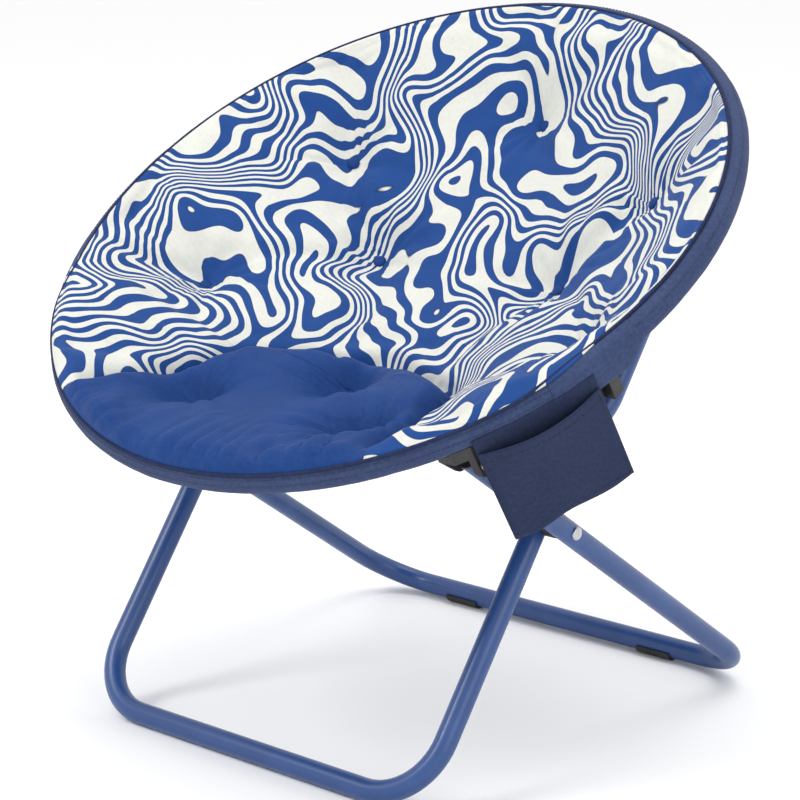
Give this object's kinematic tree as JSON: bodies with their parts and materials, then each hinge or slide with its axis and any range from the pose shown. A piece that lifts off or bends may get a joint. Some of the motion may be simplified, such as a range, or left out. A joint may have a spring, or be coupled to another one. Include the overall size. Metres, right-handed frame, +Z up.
{
  "type": "saucer chair",
  "caption": "Folding saucer chair: a round hinged hoop carries a tufted padded dish with a side pocket, on two crossed U-shaped tube legs.",
  "frame": {"origin": "on the floor, straight below the centre of the seat hoop", "axes": "+Z up, -Y towards the front of the chair, +X to the side with the pocket"},
  "size_m": [0.72, 0.6155, 0.6881],
  "materials": {
    "frame_paint": "gloss",
    "black_plastic": "satin",
    "foot_rubber": "matte",
    "rivet_steel": "satin",
    "navy_fabric": "woven",
    "piping_fabric": "woven",
    "blue_fabric": "woven",
    "print_fabric": "printed weave"
  },
  "bodies": {
    "front_legs": {"front_leg_tube": "frame_paint", "front_arm_cap_left": "black_plastic", "front_arm_cap_right": "black_plastic"},
    "rear_legs": {"rear_leg_tube": "frame_paint", "rear_arm_cap_left": "black_plastic", "rear_arm_cap_right": "black_plastic", "rear_foot_pad_left": "foot_rubber", "rear_foot_pad_right": "foot_rubber", "pivot_rivet_left": "rivet_steel", "pivot_rivet_right": "rivet_steel", "pivot_spacer_left": "black_plastic", "pivot_spacer_right": "black_plastic"},
    "seat_hoop": {"front_hoop_tube": "frame_paint", "front_rim_sleeve": "navy_fabric", "front_piping": "piping_fabric", "front_blind_rivets": "rivet_steel", "front_sling": "navy_fabric", "seat_pad": "blue_fabric", "front_tuft_buttons": "blue_fabric", "pocket_back_panel": "navy_fabric", "pocket_front_panel": "navy_fabric", "front_clevis_left": "black_plastic", "front_clevis_right": "black_plastic", "front_clevis_rivet_left": "rivet_steel", "front_clevis_rivet_right": "rivet_steel", "front_hinge_knuckle_left": "black_plastic", "front_hinge_knuckle_right": "black_plastic", "hinge_pin_left": "rivet_steel", "hinge_pin_right": "rivet_steel", "side_pad_left": "print_fabric", "side_pad_right": "print_fabric"},
    "back_hoop": {"back_hoop_tube": "frame_paint", "back_rim_sleeve": "navy_fabric", "back_piping": "piping_fabric", "back_blind_rivets": "rivet_steel", "back_sling": "navy_fabric", "back_pad": "print_fabric", "back_tuft_buttons": "blue_fabric", "back_clevis_left": "black_plastic", "back_clevis_right": "black_plastic", "back_clevis_rivets_left": "rivet_steel", "back_clevis_rivets_right": "rivet_steel", "back_hinge_knuckle_left": "black_plastic", "back_hinge_knuckle_right": "black_plastic"}
  },
  "joints": [
    {"name": "leg_fold", "type": "hinge", "parent": "front_legs", "child": "rear_legs", "pos_m": [0, -0.03719, 0.23992], "axis": [-1, 0, 0], "range_deg": [0, 62], "deforming": ["seat_pad", "side_pad_left", "side_pad_right", "front_sling", "front_tuft_buttons", "pocket_back_panel", "pocket_front_panel", "front_rim_sleeve", "front_piping", "back_pad", "back_sling", "back_tuft_buttons", "back_rim_sleeve", "back_piping"]},
    {"name": "seat_fold", "type": "hinge", "parent": "rear_legs", "child": "seat_hoop", "pos_m": [0, -0.1793, 0.33869], "axis": [-1, 0, 0], "range_deg": [0, 67.45]},
    {"name": "back_fold", "type": "hinge", "parent": "seat_hoop", "child": "back_hoop", "pos_m": [0, -0.09985, 0.41524], "axis": [1, 0, 0], "range_deg": [0, 153.01]}
  ],
  "couplings": [
    {"joint": "seat_fold", "follows": "leg_fold", "ratio": 1.0872},
    {"joint": "back_fold", "follows": "leg_fold", "ratio": 2.4671}
  ]
}
